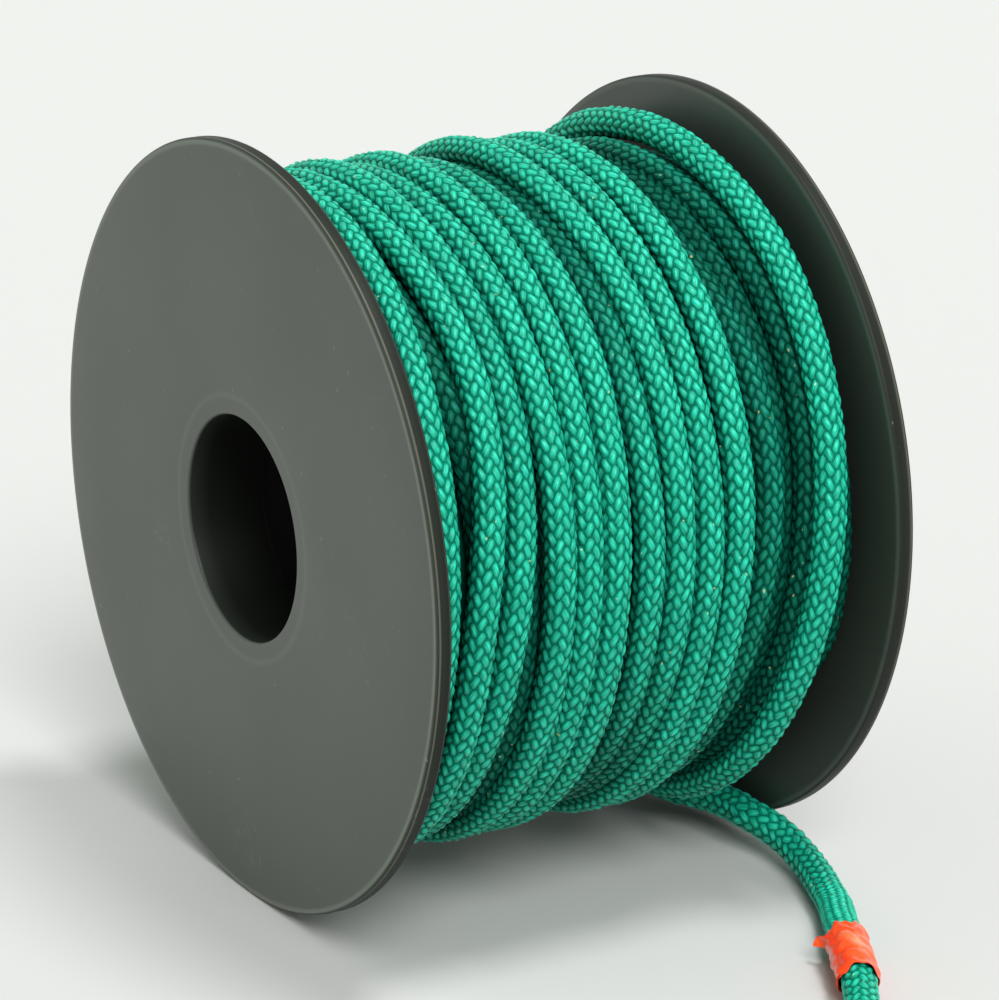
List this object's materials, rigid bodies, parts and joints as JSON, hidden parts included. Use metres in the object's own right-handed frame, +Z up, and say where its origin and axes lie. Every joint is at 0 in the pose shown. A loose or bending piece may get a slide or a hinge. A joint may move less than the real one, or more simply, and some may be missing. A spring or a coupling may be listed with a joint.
{
  "type": "cord spool",
  "caption": "Small two-flange plastic spool with a through bore, wound full of green braided cord whose taped loose end lies beside it.",
  "frame": {"origin": "on the plane the flange rims stand on, midway between the flanges, below the spool's axis", "axes": "+X along the spool's axis towards the far flange, +Z up, the loose end of the cord runs out towards -Y"},
  "size_m": [0.047, 0.0892, 0.068],
  "materials": {
    "spool_plastic": "satin moulded black plastic with fine scuffs",
    "barrel_plastic": "moulded black plastic",
    "cord_braid": "braided synthetic yarn with a soft sheen",
    "paper_tape": "matt paper tape",
    "red_tape": "thin glossy red-orange film tape",
    "core_yarn": "plain white yarn"
  },
  "bodies": {
    "root": {"near_flange": "spool_plastic", "far_flange": "spool_plastic", "barrel": "barrel_plastic", "cord_winding": "cord_braid", "cord_tail": "cord_braid", "start_tape": "paper_tape", "end_tape": "red_tape", "cord_core": "core_yarn"}
  },
  "joints": []
}
